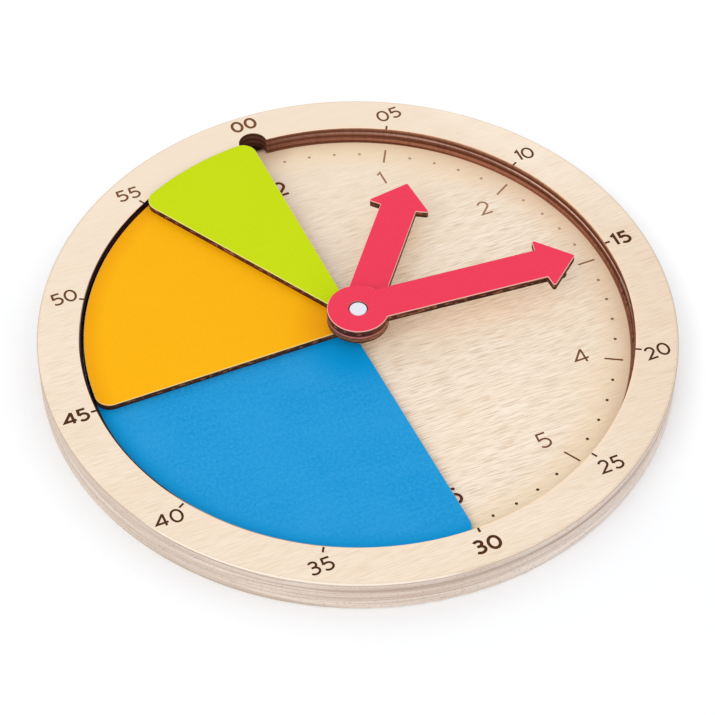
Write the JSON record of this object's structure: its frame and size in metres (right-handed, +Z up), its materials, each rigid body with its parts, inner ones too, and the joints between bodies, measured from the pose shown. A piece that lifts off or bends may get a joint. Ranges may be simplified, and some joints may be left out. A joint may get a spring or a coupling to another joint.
{
  "type": "wooden teaching clock with time segments",
  "caption": "Round wooden learning clock lying flat: dial board with a raised ring, stacked coloured time segments in its recess, and arrow hands turning on a central post.",
  "frame": {"origin": "centre of the flat underside, on the axis of the hands", "axes": "+Z up out of the dial, along the axis of the hands; +Y towards twelve o'clock; +X towards three o'clock"},
  "size_m": [0.3, 0.3, 0.0288],
  "materials": {
    "birch_plywood": "sanded, unvarnished, cut edges browned by the laser",
    "birch_dowel": "sanded",
    "blue_paint": "satin paint on plywood",
    "orange_paint": "satin paint on plywood",
    "green_paint": "satin paint on plywood",
    "red_paint": "satin paint on plywood",
    "white_plastic": "smooth",
    "clear_nylon": "smooth",
    "steel": "zinc plated"
  },
  "bodies": {
    "clock_board": {"base_board": "birch_plywood", "ring_layer_lower": "birch_plywood", "ring_layer_middle": "birch_plywood", "ring_layer_upper": "birch_plywood", "hub_spacer": "birch_dowel", "hand_washers": "clear_nylon", "pivot_post": "white_plastic", "back_washer": "steel", "back_screw": "steel"},
    "hour_hand": {"hour_hand": "red_paint"},
    "minute_hand": {"minute_hand": "red_paint"},
    "segment_half_hour": {"segment_half_hour": "blue_paint"},
    "segment_quarter_hour": {"segment_quarter_hour": "orange_paint"},
    "segment_five_minutes": {"segment_five_minutes": "green_paint"}
  },
  "joints": [
    {"name": "hour_hand_turn", "type": "hinge", "parent": "clock_board", "child": "hour_hand", "pos_m": [0, 0, 0.02245], "axis": [0, 0, -1], "continuous": true},
    {"name": "minute_hand_turn", "type": "hinge", "parent": "clock_board", "child": "minute_hand", "pos_m": [0, 0, 0.02685], "axis": [0, 0, -1], "continuous": true},
    {"name": "half_hour_turn", "type": "hinge", "parent": "clock_board", "child": "segment_half_hour", "pos_m": [0, 0, 0.0109], "axis": [0, 0, -1], "continuous": true},
    {"name": "quarter_hour_turn", "type": "hinge", "parent": "clock_board", "child": "segment_quarter_hour", "pos_m": [0, 0, 0.0146], "axis": [0, 0, -1], "continuous": true},
    {"name": "five_minutes_turn", "type": "hinge", "parent": "clock_board", "child": "segment_five_minutes", "pos_m": [0, 0, 0.0183], "axis": [0, 0, -1], "continuous": true}
  ]
}
